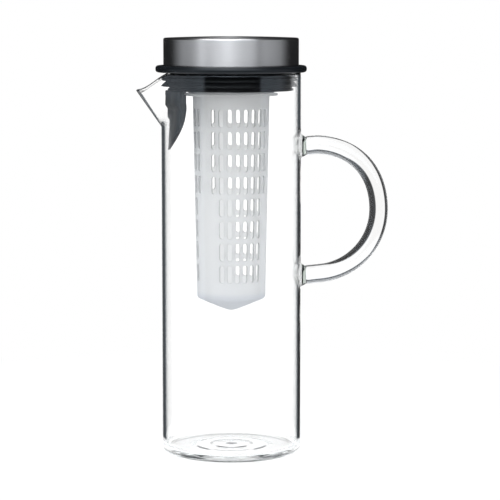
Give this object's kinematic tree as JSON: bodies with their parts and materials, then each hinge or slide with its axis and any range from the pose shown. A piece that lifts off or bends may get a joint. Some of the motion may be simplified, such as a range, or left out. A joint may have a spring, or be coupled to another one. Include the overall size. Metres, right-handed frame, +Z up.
{
  "type": "fruit infuser pitcher",
  "caption": "Tall cylindrical glass jug with a folded spout and a rod handle, a steel-capped sealed lid with a shield behind the spout and a slotted infuser tube hung in the jug.",
  "frame": {"origin": "on the jug's axis, on the surface that the jug stands on", "axes": "+Z up along the jug's axis, +X towards the handle, -X towards the spout"},
  "size_m": [0.1719, 0.1026, 0.284],
  "materials": {
    "clear_glass": "clear, glossy, with dark edges and a faint green tint at the welds",
    "brushed_steel": "brushed round the side and across the top",
    "black_plastic": "satin black",
    "grey_plastic": "satin dark grey",
    "grey_silicone": "soft satin",
    "shield_grey": "fine matt",
    "pale_silicone": "milky, soft satin",
    "frosted_plastic": "milky, frosted, slightly see-through"
  },
  "bodies": {
    "jug": {"glass_body": "clear_glass", "glass_handle": "clear_glass"},
    "seal": {"silicone_seal": "grey_silicone"},
    "lid": {"steel_cap": "brushed_steel", "lid_collar": "black_plastic", "plug_core": "grey_plastic", "spout_shield": "shield_grey"},
    "gasket": {"infuser_gasket": "pale_silicone"},
    "infuser": {"infuser_basket": "frosted_plastic"}
  },
  "joints": [
    {"name": "lid_lift", "type": "slide", "parent": "jug", "child": "seal", "axis": [0, 0, 1], "range_m": [0, 0.17]},
    {"name": "lid_turn", "type": "hinge", "parent": "seal", "child": "lid", "pos_m": [0, 0, 0.255], "axis": [0, 0, 1], "continuous": true},
    {"name": "infuser_drop", "type": "slide", "parent": "lid", "child": "gasket", "axis": [0, 0, -1], "range_m": [0, 0.00502]},
    {"name": "infuser_turn", "type": "hinge", "parent": "gasket", "child": "infuser", "pos_m": [0, 0, 0.245], "axis": [0, 0, -1], "range_deg": [0, 450]}
  ],
  "couplings": [
    {"joint": "infuser_drop", "follows": "infuser_turn", "m_per_rad": 0.00063662}
  ]
}
